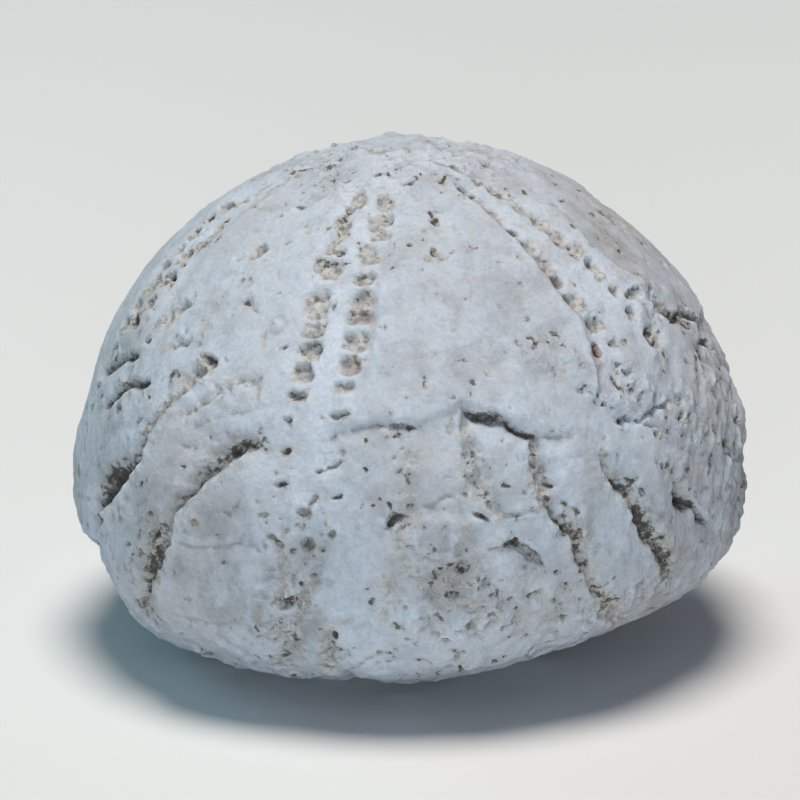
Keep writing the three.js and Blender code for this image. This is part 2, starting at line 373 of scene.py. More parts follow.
# Other small pits and dark specks.
SPOTS = [
    [-17, 7.5, 15, 10, 15, 90], [-18, -1.5, 15, 20, 30, 100], [16.5, 63.5, 15, 30, 20, 80],
    [16.5, 61.5, 35, 50, 34, 85], [19, 63.5, 20, 20, 12, 40], [12, 59.5, 25, 25, 20, 60, -40],
    [13, 54, 25, 40, 26, 60, 0, 60], [10.5, 53, 25, 25, 12, 20, 0, 50], [14, 53, 30, 30, 10, 10, 0, 30],
    [24.5, 54, 30, 15, 12, 80, 0, 10], [6, 56.5, 25, 20, 14, 60, -35, 30],
    [17.5, 53.5, 10, 10, 10, 60, 0, 40], [67, 31.5, 85, 45, 20, 50, -30], [65, 33, 20, 20, 15, 80],
    [47.5, 20.5, 40, 15, 20, 60, 30], [46.5, 25, 35, 25, 20, 50, 0, 10], [38.5, 21, 20, 15, 25, 70, 0, 10],
    [58.5, 24.5, 20, 35, 20, 60], [48.5, 13.5, 40, 25, 20, 50, 0, 10], [55, 11.5, 20, 10, 20, 80],
    [70.5, 19, 30, 15, 20, 80], [74.5, 16.5, 45, 35, 15, 50], [22.5, 16, 35, 15, 34, 100, 10],
    [24.5, 10.5, 35, 10, 22, 80, -35], [25, 4.5, 35, 20, 30, 80, -40, 10], [26, 3, 25, 25, 42, 100],
    [28, 1, 25, 15, 34, 90], [27.5, -0.5, 20, 30, 30, 80], [29.5, -4, 25, 25, 30, 100],
    [28.5, -5, 20, 20, 24, 90], [31.5, -8.5, 25, 20, 30, 100], [35.5, -14, 95, 75, 30, 75],
    [12, 7.5, 60, 20, 42, 100, -32, 10], [17, 2.5, 30, 20, 45, 100], [20.5, -0.5, 45, 25, 36, 100, -30],
    [4.5, 0, 25, 15, 30, 100, 15, 10], [8, -1, 25, 15, 30, 100, 20, 20], [9, 1.5, 10, 10, 18, 70, 0, 10],
    [24, -3.5, 25, 15, 30, 100, 10], [20, -7, 55, 20, 36, 100, 25], [16.5, -9, 20, 10, 20, 80, 30],
    [15, -12, 40, 15, 30, 100, 15], [9, -11, 45, 30, 36, 100, -45], [10.5, -13.5, 15, 20, 20, 90],
    [9.5, -9.5, 20, 15, 15, 60], [2.5, -8.5, 10, 35, 30, 100, -10], [3.5, -11.5, 35, 20, 34, 100, -35],
    [5, -13, 25, 20, 26, 100, -5], [4, -7.5, 25, 10, 12, 50, -15], [7, -18, 20, 65, 34, 90, 0, 10],
    [7.5, -21.5, 15, 75, 25, 80, 0, 10], [10, -4, 25, 10, 15, 70, -20], [9.5, -6, 30, 10, 12, 50],
    [5, -2, 20, 10, 12, 50, -15], [26, -14, 20, 20, 20, 90], [25, -10, 15, 15, 15, 60],
    [25.5, -19.5, 45, 30, 20, 70, 30], [-2.5, 8, 70, 15, 34, 100, 38], [0, 7.5, 20, 15, 15, 70],
    [0, 4, 25, 10, 25, 100, 10], [-1.5, -11.5, 15, 15, 15, 60], [-6.5, -15, 35, 25, 15, 60],
    [35.5, 13.5, 30, 15, 24, 70, 0, 10], [37, 8, 30, 20, 36, 100], [39.5, 6.5, 35, 15, 30, 90, -20],
    [39, 5.5, 25, 15, 24, 80], [40.5, 3, 30, 15, 30, 80], [42.5, 1.5, 25, 20, 20, 60],
    [41.5, -1, 45, 15, 34, 100, -10], [42.5, -3.5, 40, 20, 34, 100], [46, -3.5, 30, 15, 25, 100],
    [44.5, -5.5, 40, 15, 20, 70], [49, 8, 45, 25, 26, 60], [50.5, 6.5, 25, 15, 25, 80],
    [47, 9, 20, 15, 15, 60], [81, 6, 75, 25, 20, 80, 0, 10], [82.5, -5.5, 45, 20, 20, 70],
    [49, -1.5, 35, 10, 20, 70, 10], [-47, 6.5, 20, 25, 30, 80], [-53.5, 0.5, 35, 15, 30, 90],
    [-55.5, 4.5, 25, 20, 10, 40, 0, 10], [-62, 21.5, 45, 25, 12, 30, 0, 40],
    [-44, -3, 35, 30, 12, 30, 0, 60], [-35.5, 7.5, 25, 25, 6, 20, 0, 25], [-56, -11, 60, 30, 20, 70],
    [-13.5, -11, 25, 35, 30, 90], [-15, -15, 20, 25, 20, 60], [-16, -20.5, 25, 55, 30, 80],
    [-17.5, -20.5, 20, 55, 20, 70], [-25, -13, 20, 20, 15, 70], [-27.5, -17, 20, 30, 15, 70],
    [-24, -9.5, 15, 25, 18, 70], [73, 57, 35, 20, 12, 70],
]


def half_gap(latitude):
    rows = np.array(HALF_GAP)[::-1]
    return float(np.interp(latitude, rows[:, 0], rows[:, 1]))


def column_azimuth(name, side, latitude):
    """Azimuth of the column of pits on one side of an ambulacrum: side -1 is its left one."""
    rows = np.array(AMBULACRA[name])[::-1]
    centre = float(np.interp(latitude, rows[:, 1], rows[:, 0]))
    level = np.linalg.norm(place(centre, latitude)[:2])
    return centre + side * math.degrees(half_gap(latitude) / level)


def walk_down(top, bottom, rng):
    """Latitudes a pit apart, from the top of a column to its foot."""
    latitude = top
    while latitude > bottom:
        yield latitude
        step = np.interp(latitude, [0, 40, 60, 80], [1.55, 1.4, 1.2, 0.95]) * rng.uniform(0.88, 1.12)
        span = np.linalg.norm(place(0, latitude + 1) - place(0, latitude - 1)) / 2
        latitude -= step / span


def hundredths(row, *degrees):
    """A table's row with its hundredths made whole. Its first two numbers, and those named, are degrees."""
    return [value if i < 2 or i in degrees else value / 100 for i, value in enumerate(row)]


def carve_hidden_column(stone, name, side, top, rng):
    """A column of pits that the front view hides, with smaller slits in its lower part."""
    draw = rng.uniform
    foot, slits_below = -14, 31
    for latitude in walk_down(top, foot, rng):
        low = latitude < slits_below
        pit_size = np.interp(latitude, [30, 45, 60, 80], [0.8, 0.85, 0.6, 0.35])
        across = draw(0.4, 0.7) if low else pit_size
        tall = draw(0.45, 0.6) if low else 0.8
        across *= draw(0.85, 1.1)
        stone.pit(
            column_azimuth(name, side, latitude) + draw(-0.8, 0.8),
            latitude,
            across,
            across * tall * draw(0.85, 1.1),
            draw(0.2, 0.42),
            turn=draw(-30, 30) if low else draw(-12, 12),
            dirt_and_shadow=draw(0.5, 1) if low else draw(0.3, 0.8),
            rust=0.5 if rng.random() < 0.12 else 0.0,
            lidded=0.6 if low else 0.1,
        )


def carve_pits(stone, rng):
    """The two columns of pits of every ambulacrum, and the single pits and specks between them."""
    for row in FRONT_PITS + RIGHT_PITS + LEFT_PITS + SPOTS:
        stone.pit(*hundredths(row, 6))
    for row in LIDDED_PITS:
        stone.pit(*hundredths(row, 6), lidded=0.8)
    for name in ("back_right", "back_left"):
        for side in (-1, 1):
            carve_hidden_column(stone, name, side, 80, rng)
    carve_hidden_column(stone, "left", -1, 60, rng)


def carve_bands(stone):
    """The ambulacra as clean, very slightly sunk bands."""
    for path in AMBULACRA.values():
        rows = [[azimuth, latitude, half_gap(latitude) + 1.1, 0.12] for azimuth, latitude in path]
        where, s, width, depth, _ = stone.along_path(rows, 5.0)
        band = 1 - smoothstep(np.abs(s) / width, 0.75, 1.3)
        stone.raised[where] -= depth * band
        stone.paint("clean_and_highlight", where, 0.7 * band * smoothstep(stone.latitude[where], 5, 40))


# ---------------------------------------------------------------- this stone's own wear and cracks


# Furrows of the front half. Rows are [azimuth, latitude, half width, depth]; steep 1 or -1 names the sheer
# wall, on the right or left of the way that the path runs.
GROOVES = [
    # Left panel: a scooped hollow that narrows to a crack, then a deep hollow that notches the outline.
    dict(steep=-1, dirt_and_shadow=0.45, tan=0.9, path=[[-39.5, 33.5, 30, 25], [-41.5, 31.5, 60, 35],
        [-43, 29.5, 50, 32], [-44.5, 27, 40, 30], [-46.5, 25, 35, 30], [-48.5, 23, 25, 25],
        [-50, 20.5, 30, 34], [-51, 17.5, 30, 30], [-52.5, 16, 20, 30]]),
    dict(steep=-1, dirt_and_shadow=1, tan=0.4, green=0.9, path=[[-51, 15.5, 25, 20], [-53, 13.5, 50, 40],
        [-56, 12, 90, 60], [-60, 9.5, 115, 75], [-63, 7, 115, 80], [-65.5, 4, 95, 75], [-67.5, 1, 60, 50]]),
    # The long furrow on the left of the smooth lobe, and the sediment caught at its foot.
    dict(steep=-1, dirt_and_shadow=0.62, tan=0.8, green=0.4, path=[[-23.5, 19.5, 15, 10], [-25.5, 20, 35, 32],
        [-28, 20, 55, 50], [-30.5, 19, 60, 52], [-32, 17.5, 60, 50], [-33.5, 16.5, 58, 48],
        [-35.5, 14.5, 55, 50], [-37, 13, 50, 55], [-38.5, 11.5, 50, 50], [-40, 10, 50, 55],
        [-41.5, 8.5, 48, 50], [-42, 6.5, 70, 60], [-43.5, 4.5, 95, 62], [-45, 2, 110, 62],
        [-46, -1, 105, 55], [-48, -3.5, 95, 50], [-50, -6, 80, 50], [-52, -8.5, 60, 45],
        [-54.5, -12.5, 40, 30]]),
    dict(dirt_and_shadow=0.88, tan=0.6, green=0.6, path=[[-46.5, -1, 30, 20], [-49, -4, 65, 50], [-51, -7, 60, 50],
        [-53, -10, 30, 20]]),
    # Dark cracks at the far left.
    dict(steep=1, dirt_and_shadow=0.75, tan=0.6, green=0.6, path=[[-53.5, 27.5, 10, 10], [-56.5, 27, 28, 40],
        [-60.5, 26.5, 36, 50], [-63.5, 25, 34, 50], [-66, 23, 30, 40], [-69.5, 20.5, 25, 30]]),
    dict(steep=1, dirt_and_shadow=0.85, tan=0.4, green=0.8, path=[[-62.5, 30.5, 15, 10], [-67.5, 30, 35, 50],
        [-72, 28, 45, 60], [-76, 26, 50, 60], [-79, 24.5, 40, 40]]),
    # A long pit with a cream floor above them, and faint lines on the panel.
    dict(steep=1, dirt_and_shadow=0.45, tan=0.8, path=[[-54.5, 45, 12, 10], [-54.5, 43, 26, 30], [-56, 41.5, 45, 34],
        [-58, 39.5, 50, 30], [-60.5, 37.5, 36, 22], [-62.5, 35, 25, 12]]),
    dict(dirt_and_shadow=0.6, tan=0.4, path=[[-46.5, 37, 10, 8], [-47.5, 35.5, 15, 16], [-49.5, 35, 20, 20],
        [-51.5, 34, 16, 18], [-54, 33, 12, 8]]),
    dict(dirt_and_shadow=0.5, tan=0.5, path=[[-43, 23.5, 15, 10], [-41, 24.5, 25, 24], [-39, 25.5, 24, 22],
        [-37, 27, 26, 26], [-35, 28.5, 26, 28], [-32, 30, 26, 24], [-29, 30.5, 20, 16],
        [-26.5, 29.5, 15, 10]]),
    dict(dirt_and_shadow=0.12, tan=0.35, path=[[-26.5, 29, 12, 6], [-26.5, 26.5, 12, 8], [-30, 25.5, 14, 8],
        [-33, 24.5, 15, 10], [-36, 23.5, 15, 10], [-39, 22, 12, 6]]),
    dict(dirt_and_shadow=0.1, tan=0.2, path=[[-43.5, 19, 12, 5], [-39.5, 19, 15, 8], [-34, 20.5, 15, 8],
        [-27, 22.5, 10, 4]]),
    dict(dirt_and_shadow=0.4, tan=0.15, path=[[-38.5, 47.5, 10, 5], [-36, 45, 12, 12], [-33, 43, 14, 14],
        [-30, 42, 10, 5]]),
    dict(dirt_and_shadow=0.35, tan=0.4, path=[[-28.5, 40, 10, 6], [-28.5, 38.5, 14, 12], [-27.5, 37, 14, 12]]),
    # Lines on the smooth lobe.
    dict(dirt_and_shadow=0.5, tan=0.4, path=[[-34, 10.5, 12, 8], [-32, 10, 17, 17], [-29.5, 9.5, 18, 20],
        [-28, 10.5, 16, 18], [-27.5, 11.5, 12, 10]]),
    dict(dirt_and_shadow=0.3, tan=0.2, path=[[-40.5, 4, 10, 6], [-37.5, 3.5, 14, 16], [-34.5, 3.5, 16, 18],
        [-31.5, 4, 14, 16], [-28, 4.5, 14, 15], [-25, 4.5, 10, 6]]),
    dict(dirt_and_shadow=0.05, tan=0.05, path=[[-40.5, 1, 8, 3], [-36, 1, 10, 6], [-31.5, 2, 8, 3]]),
    dict(dirt_and_shadow=0.1, tan=0.1, path=[[-42, -5, 8, 3], [-37, -5.5, 10, 8], [-32.5, -5, 8, 4]]),
    dict(dirt_and_shadow=0.3, tan=0.25, path=[[-44.5, -9.5, 12, 8], [-39, -10, 18, 20], [-32, -9.5, 16, 18],
        [-28, -7.5, 12, 8]]),
    # Cracks under the lip of the front panel.
    dict(dirt_and_shadow=0.25, tan=0.2, path=[[-13, 21.5, 30, 8], [-11, 22, 30, 14], [-9.5, 22.5, 20, 12]]),
    dict(steep=-1, dirt_and_shadow=0.75, tan=0.3, path=[[-9, 22.5, 12, 10], [-7.5, 23.5, 15, 18], [-5.5, 23.5, 16, 22],
        [-4, 23.5, 17, 26], [-1.5, 23.5, 15, 26], [0.5, 23.5, 17, 32], [2, 23, 16, 30], [3, 22.5, 10, 12]]),
    dict(steep=-1, dirt_and_shadow=1, tan=0.3, green=0.25, path=[[11.5, 25.5, 12, 20], [12.5, 24.5, 24, 45],
        [14, 23.5, 34, 64], [16, 23, 40, 70], [18, 22.5, 36, 70], [19.5, 21, 28, 70], [21, 20, 24, 60],
        [23, 19, 20, 45], [25, 18.5, 12, 20], [27.5, 18, 13, 20], [29, 18, 8, 6]]),
    # Furrows that run down from them.
    dict(steep=1, dirt_and_shadow=0.36, tan=0.5, path=[[11.5, 24, 30, 30], [11, 21.5, 34, 30], [11.5, 19, 50, 30],
        [11.5, 16.5, 70, 30], [12, 14, 75, 32], [12.5, 11.5, 65, 32], [14, 9.5, 45, 32],
        [15.5, 7.5, 30, 20]]),
    dict(steep=1, dirt_and_shadow=0.5, tan=0.8, rust=0.12, path=[[23.5, 18.5, 32, 36], [23, 16, 42, 40],
        [23, 14, 52, 36], [23, 11.5, 50, 34], [23, 9, 50, 34], [24, 6.5, 40, 42], [25, 4.5, 36, 50],
        [26.5, 3, 38, 50], [28, 1, 40, 42], [27.5, -1, 38, 40], [28.5, -3, 40, 40], [29.5, -5, 38, 36],
        [30.5, -7, 34, 30], [32, -9.5, 42, 32], [34.5, -12.5, 65, 35], [37.5, -16, 60, 30],
        [45.5, -23.5, 40, 20]]),
    dict(dirt_and_shadow=0.2, tan=0.45, path=[[2, 19.5, 30, 6], [1, 17, 40, 12], [1, 14.5, 40, 12],
        [1.5, 11.5, 30, 8]]),
    dict(steep=-1, dirt_and_shadow=0.6, tan=0.3, path=[[14.5, 8.5, 12, 12], [16, 7.5, 15, 20], [18, 7, 16, 26],
        [20, 7, 14, 20], [22, 7, 10, 8]]),
    dict(steep=-1, dirt_and_shadow=0.5, tan=0.4, path=[[2.5, 10.5, 14, 12], [4, 10.5, 17, 22], [5.5, 11, 14, 16],
        [7, 11.5, 13, 14], [8.5, 11, 10, 5]]),
    dict(steep=-1, dirt_and_shadow=0.8, tan=0.4, path=[[12.5, 2.5, 12, 8], [14.5, 2.5, 18, 22], [16, 2.5, 25, 45],
        [17.5, 2, 22, 45], [19, 1, 24, 45], [20, -0.5, 28, 45], [21.5, -2, 20, 25]]),
    # The furrow on the right of the long smooth plate, and the deep slots beyond it.
    dict(steep=1, dirt_and_shadow=0.85, tan=0.7, path=[[35, 14.5, 15, 8], [35.5, 13, 30, 15], [36, 10.5, 35, 22],
        [37.5, 8, 40, 35], [39, 6.5, 45, 42], [40, 4, 55, 45], [41, 2, 65, 50], [42.5, -1, 68, 55],
        [44, -3.5, 70, 55], [46, -6, 65, 45], [48.5, -9.5, 55, 32], [53, -14.5, 40, 20]]),
    dict(dirt_and_shadow=1, tan=0.2, green=0.3, lip=0.1, path=[[50, 4.5, 15, 30], [51, 3, 38, 110], [53, 1, 42, 130],
        [55, -0.5, 30, 100], [56.5, -1.5, 16, 50], [58, -3.5, 30, 90], [59.5, -4.5, 24, 60],
        [61, -5.5, 10, 20]]),
    dict(steep=-1, dirt_and_shadow=0.85, tan=0.2, path=[[40, 18.5, 10, 10], [41.5, 17.5, 24, 40], [43, 17.5, 28, 50],
        [45, 17, 20, 35], [47.5, 17, 14, 26], [50, 17.5, 16, 34], [52, 17.5, 18, 36], [55, 17.5, 10, 12]]),
    dict(dirt_and_shadow=0.6, tan=0.3, path=[[45.5, 16.5, 10, 12], [47.5, 15.5, 15, 22], [49.5, 14.5, 10, 10]]),
    # Hollows that notch the outline on the right.
    dict(steep=-1, dirt_and_shadow=0.75, tan=0.75, path=[[65, 33, 15, 12], [67, 30.5, 30, 25], [71, 29, 38, 45],
        [76, 28, 40, 50], [79, 26, 40, 40], [81, 23.5, 50, 45], [81, 21.5, 50, 45], [82, 20, 50, 40]]),
    dict(dirt_and_shadow=0.8, tan=0.2, path=[[72, 50.5, 10, 6], [72, 49, 15, 20], [72.5, 47.5, 14, 20],
        [71.5, 46, 15, 20], [72.5, 45, 10, 8]]),
    dict(dirt_and_shadow=0.6, tan=0.4, path=[[68.5, 47, 10, 6], [69, 45.5, 12, 12], [72.5, 44, 14, 14],
        [74, 42.5, 10, 6]]),
    dict(steep=-1, dirt_and_shadow=0.5, tan=0.5, path=[[85.5, 51.5, 20, 10], [86, 50, 35, 25], [86, 48, 45, 40],
        [85, 46.5, 50, 45]]),
    # The foot of the front ambulacrum, with the notch at the bottom of the outline.
    dict(dirt_and_shadow=0.45, tan=0.85, path=[[-14, -9.5, 25, 12], [-14.5, -12.5, 40, 28], [-15.5, -16, 45, 30],
        [-17.5, -21, 50, 30]]),
    dict(dirt_and_shadow=0.5, tan=0.5, path=[[-14, -21, 35, 15], [-14, -28, 60, 60], [-14, -37, 75, 110],
        [-14, -46, 50, 60]]),
    dict(dirt_and_shadow=0.55, tan=0.6, green=0.4, path=[[-17.5, -2, 50, 20], [-18.5, -5.5, 80, 34],
        [-20.5, -10, 90, 34], [-23.5, -16.5, 80, 28], [-27, -21.5, 60, 20]]),
    # Soft porous valleys between the ribs low on the front, and the fine cracks among them.
    dict(dirt_and_shadow=0.25, tan=0.42, path=[[1, 19, 35, 6], [1, 15, 50, 16], [0.5, 11, 50, 18], [-0.5, 7.5, 45, 14],
        [-1.5, 3.5, 45, 16], [-1, 0, 50, 20], [-1.5, -3.5, 30, 8]]),
    dict(dirt_and_shadow=0.25, tan=0.35, path=[[9, 8.5, 30, 6], [9, 4, 50, 16], [8, 0, 50, 20], [6.5, -4, 50, 18],
        [7, -8, 30, 6]]),
    dict(dirt_and_shadow=0.2, tan=0.3, path=[[1, 1.5, 40, 8], [1.5, -1.5, 55, 18], [2, -5, 55, 22], [2.5, -9, 50, 22],
        [4, -13.5, 40, 12]]),
    dict(dirt_and_shadow=0.15, tan=0.3, path=[[18, -3, 40, 10], [18.5, -7, 60, 28], [18, -10.5, 60, 28],
        [20, -17, 40, 12]]),
    dict(dirt_and_shadow=0.15, tan=0.6, path=[[-20.5, 3, 50, 10], [-20, -0.5, 60, 20], [-22.5, -4.5, 60, 16]]),
    dict(dirt_and_shadow=0.5, tan=0.4, path=[[-16, 2.5, 20, 8], [-15, 0, 30, 20], [-15.5, -2, 20, 10]]),
    dict(dirt_and_shadow=0.5, tan=0.2, path=[[-12.5, -9, 8, 6], [-11, -8, 12, 12], [-9, -6.5, 8, 6]]),
    dict(dirt_and_shadow=0.4, tan=0.2, path=[[-11, -12, 8, 6], [-10, -13.5, 12, 12], [-8.5, -13.5, 8, 6]]),
    dict(dirt_and_shadow=0.1, tan=0.5, path=[[-4, -1.5, 40, 5], [-4, -4.5, 45, 10], [-5, -8, 30, 5]]),
    dict(dirt_and_shadow=1, tan=0.3, path=[[-4, 7, 12, 15], [-2.5, 8, 20, 40], [-1.5, 8.5, 22, 45], [0, 9, 12, 20]]),
    dict(dirt_and_shadow=1, tan=0.3, path=[[-1, 4, 10, 10], [0, 4, 15, 30], [1.5, 4, 8, 10]]),
    # The step in the outline low on the left, and the one high on the right.
    dict(steep=1, dirt_and_shadow=0.4, tan=0.3, green=0.3, path=[[-66, -3, 40, 10], [-76, -6.5, 60, 50],
        [-87, -8.5, 70, 80], [-98, -10, 60, 50], [-110, -13, 40, 10]]),
    dict(steep=1, dirt_and_shadow=0.3, tan=0.4, path=[[96, 51, 40, 10], [108, 47, 70, 40], [118, 42, 40, 10]]),
    # The furrow across the top, just in front of the highest point.
    dict(dirt_and_shadow=0.5, tan=0.7, path=[[-95, 83, 20, 10], [-74, 84.5, 35, 20], [-40, 85, 30, 24],
        [-10, 84.5, 35, 20], [10, 83.5, 20, 10]]),
]

# Edges of plates that stand proud: rows of [azimuth, latitude, height], with the raised side on the right.
LEDGES = [
    dict(reach=1.8, edge=0.32, clean_and_highlight=0.3, path=[[35, 76, 20], [36.5, 63.5, 36], [38, 55, 42], [39, 48, 42],
        [40.5, 39.5, 42], [41.5, 35, 42], [40, 29, 40], [38, 24, 36], [35, 18.5, 20]]),
    dict(reach=2.2, path=[[35, 18, 14], [29.5, 18, 16], [23.5, 20, 36], [19.5, 23, 45], [13.5, 24.5, 45],
        [12, 26, 36], [7, 24.5, 16], [2.5, 23.5, 26], [-3.5, 24.5, 30], [-8.5, 23.5, 22],
        [-12.5, 22.5, 10]]),
    dict(reach=1.0, edge=0.3, path=[[-6.5, 27, 10], [-4.5, 34, 18], [-3.5, 41.5, 20], [-2.5, 47.5, 18],
        [0, 54, 14], [3.5, 63, 8]]),
    # The smooth lobe over the furrow on its left, and the plate above that furrow over the next one.
    dict(reach=2.4, edge=0.2, path=[[-53.5, -12, 15], [-49, -7, 30], [-46.5, -3.5, 34], [-43.5, -0.5, 34],
        [-41.5, 3, 32], [-38.5, 9.5, 30], [-33, 14.5, 28], [-28, 18, 24], [-23, 18.5, 10]]),
    dict(reach=2.0, edge=0.2, path=[[-64.5, 1, 20], [-60, 6.5, 32], [-55.5, 9.5, 32], [-51.5, 14, 26],
        [-46, 23, 20], [-40.5, 30, 14], [-38, 32.5, 6]]),
    dict(reach=1.5, path=[[66, 60, 10], [62, 50, 20], [63, 42, 20], [68, 36, 10]]),
]

# Rounded lumps and dents: [azimuth, latitude, half across, half along, height, whiteness, turn].
SWELLS = [
    # The broad bulges and hollows that the stone's outline shows.
    [86, -18, 800, 380, 45], [76, -27, 600, 300, 50], [90, -4, 600, 360, -35], [95, 19, 600, 400, -25],
    [102, 36, 700, 500, -25], [112, 43, 300, 250, -30], [141, 71, 250, 250, -50], [-165, 75, 250, 250, -15],
    [44, -32, 600, 300, -20], [28, -38, 600, 300, -50], [-89, -12, 700, 190, -125],
    [-80, -27, 600, 260, 45], [-91, 5, 500, 320, 20], [-94, 15, 500, 300, -25], [-104, 46, 500, 400, 15],
    # Lumps and dents of the plates.
    [15, -1.5, 100, 85, 45, 100], [17.5, 15, 130, 200, 20, 60], [6, 15.5, 160, 140, 14, 40],
    [20, 4.5, 120, 80, 20, 30, -30], [27.5, 12.5, 90, 160, 15, 90, -10], [31.5, 8, 120, 340, 24, 0, -12],
    [35, -4, 110, 300, 20, 0, -18], [46, 10, 120, 240, 20, 30, -15], [-34, -2, 420, 460, 30, 0, 15],
    [-46, 19, 200, 300, 15, 0, 30], [48, 27, 150, 130, 25, 90], [43, 21, 100, 90, 25, 90],
    [46, 17, 100, 70, 20, 80], [54, 26, 90, 80, 18, 50], [50, 21, 80, 70, 20, 80],
    [-18, 13, 100, 120, 10, 60], [-13.5, 15.5, 80, 60, 12, 90], [24, -12, 220, 160, -25],
    [9, -22, 250, 140, 20, 50], [-22, -9, 200, 300, -20], [-60, 22, 50, 40, 15, 100],
    [73, 33, 150, 80, 25, 20],
]

# Soft patches of each mask: [azimuth, latitude, half across, half along, amount, turn].
AREAS = {
    "rough": [
        [5, -3, 360, 400, 90], [12, -6, 400, 360, 80], [26, -11, 320, 260, 90], [45, -13, 350, 260, 80],
        [-23, -8, 180, 450, 90, 8], [-17, 4, 180, 300, 50], [49, 22, 300, 300, 90], [57, 8, 300, 500, 50],
        [-50, 1, 190, 420, 80, 20], [-60, 12, 200, 350, 30], [22, 33, 300, 220, 60], [10, 35, 240, 180, 35],
        [34, 33, 180, 240, 40], [-39, 45, 340, 300, 30], [66, 36, 260, 140, 70],
        [-25.5, -12.5, 120, 160, 90], [-20.5, -1, 90, 180, 60], [-62, 8, 180, 140, 100, 35],
    ],
    "stain": [
        [-52, 64, 65, 36, 100, 30], [12, 44, 300, 500, 50], [28, 46, 240, 450, 50], [16, 31, 500, 240, 45],
        [32.5, 7.5, 110, 340, 70, -12], [30.5, 23.5, 70, 35, 80], [71, 47, 180, 360, 80, -20],
        [33, 30, 120, 300, 30, -10], [-33, 1, 340, 440, 50, 10], [5, -2, 260, 360, 90],
        [27, -8, 260, 300, 50], [80, 1, 450, 700, 90], [55, -10, 450, 400, 60], [36, -16, 350, 250, 40],
        [-17.5, 0, 160, 500, 40, 8], [-39, 45, 260, 260, 30], [0, -2, 180, 360, 50], [2.5, 4, 100, 500, 35],
        [-4.5, 11, 50, 90, 80],
    ],
    # Dark green in furrows and over the left side, partly painted teal shade.
    "green": [
        [-50, 0, 500, 700, 20, 20], [-66, 20, 300, 700, 25, 10], [-31, 0, 400, 500, 24, 10],
        [-15, 2, 120, 400, 30], [-17, -8, 120, 400, 35], [-62, 8, 220, 180, 50, 35],
    ],
    "clean_and_highlight": [
        [-3, -21, 450, 200, 90], [15, -20, 400, 200, 60], [14, 0, 180, 220, 70],
    ],
    "pit": [
        [-25.5, -12, 90, 130, 50], [0.5, 0, 90, 140, 50], [-62, 8, 170, 130, 80, 35],
    ],
    # Dark patches; the first two, at the notch on the left, are painted shadow under its upper lip.
    "dirt_and_shadow": [
        [-21, -5, 90, 50, 90, 35], [-61.5, 9, 170, 100, 80, 35], [-65.5, 5, 90, 120, 65],
        [-7, -14.5, 40, 30, 40], [34.5, -14, 70, 55, 60], [47, -9, 70, 70, 50],
    ],
    "rust": [
        [41, 28.5, 22, 80, 90], [39.5, 23.5, 18, 40, 60],
    ],
}

# Panels between the ambulacra that face away from the front, and where their furrows run.
BACK_PANELS = (88, -118, 165)
BACK_FURROWS = (-14, 9, 19)
FLANK_END = 95  # no furrow of theirs runs down in front of this azimuth, where the flanks are smooth


def along(shape):
    """What a ledge or furrow of the tables is made with, its path in degrees and millimetres."""
    return {**shape, "path": [hundredths(row) for row in shape["path"]]}


def carve_front(stone):
    """The ledges, lumps, furrows and soft patches that the photo shows."""
    for ledge in LEDGES:
        stone.ledge(**along(ledge))
    for row in SWELLS:
        stone.swell(*hundredths(row, 6))
    for groove in GROOVES:
        stone.groove(**along(groove))
    for name, rows in AREAS.items():
        for row in rows:
            stone.area(name, *hundredths(row, 5))
    carve_ring(stone, -26, 41, 0.55)


def carve_ring(stone, azimuth, latitude, radius):
    """A faint ring, sunk and stained."""
    where, u, v = stone.patch(azimuth, latitude, radius, radius)
    line = np.exp(-(((np.hypot(u, v) - 1) / 0.25) ** 2))
    stone.raised[where] -= 0.1 * line
    stone.paint("stain", where, 0.6 * line)


def carve_back_panel(stone, centre, rng):
    """A lip with cracks under it and furrows down to the underside, for a panel that the front hides."""
    draw = rng.uniform
    lip = [[centre + offset, 23 + draw(-2, 3), 0.3] for offset in (17, 10, 3, -4, -11, -17)]
    stone.ledge(lip, 2.2)
    for start, end in ((-15, -4), (2, 14)):
        crack = [
            [centre + offset, 22 + draw(-1.5, 2), draw(0.2, 0.42), draw(0.3, 0.8)]
            for offset in np.linspace(start, end, 4)
        ]
        stone.groove(crack, steep=-1, dirt_and_shadow=0.8, tan=0.4)
    for offset in BACK_FURROWS:
        if abs(centre + offset) < FLANK_END:
            continue
        sway = draw(-1.8, 1.8, 6)
        top = draw(11, 19)
        rows = [
            [centre + offset + sway[i], latitude, draw(0.4, 0.85), draw(0.25, 0.65)]
            for i, latitude in enumerate((top, 8, 0, -9, -19, -31))
        ]
        stone.groove(rows, steep=rng.choice([-1, 1]), dirt_and_shadow=0.6, tan=0.8, green=draw(0, 0.5))
    for _ in range(9):
        azimuth, latitude = centre + draw(-19, 19), draw(-22, 16)
        run = draw(1, 4)
        rise = draw(-3, 3)
        rows = [
            [azimuth, latitude, 0.12, 0.12],
            [azimuth + run, latitude + rise, draw(0.16, 0.3), draw(0.25, 0.5)],
            [azimuth + 2 * run, latitude + rise, 0.12, 0.12],
        ]
        stone.groove(rows, dirt_and_shadow=0.95, tan=0.3)
    for _ in range(14):
        stone.pit(
            centre + draw(-20, 20),
            draw(-20, 62),
            draw(0.25, 0.55),
            draw(0.2, 0.5),
            draw(0.12, 0.4),
            turn=draw(-60, 60),
            dirt_and_shadow=draw(0.3, 1),
            rust=0.4 if rng.random() < 0.15 else 0.0,
        )
    for _ in range(5):
        stone.swell(
            centre + draw(-16, 16), draw(-18, 14), draw(0.9, 1.6), draw(0.9, 2.6),
            draw(0.12, 0.3), turn=draw(-30, 30), clean_and_highlight=draw(0, 0.8),
        )
    stone.area("rough", centre, -6, 6.5, 5.0, 0.7)
    stone.area("stain", centre + draw(-8, 8), draw(30, 50), 3.0, 4.5, 0.5)


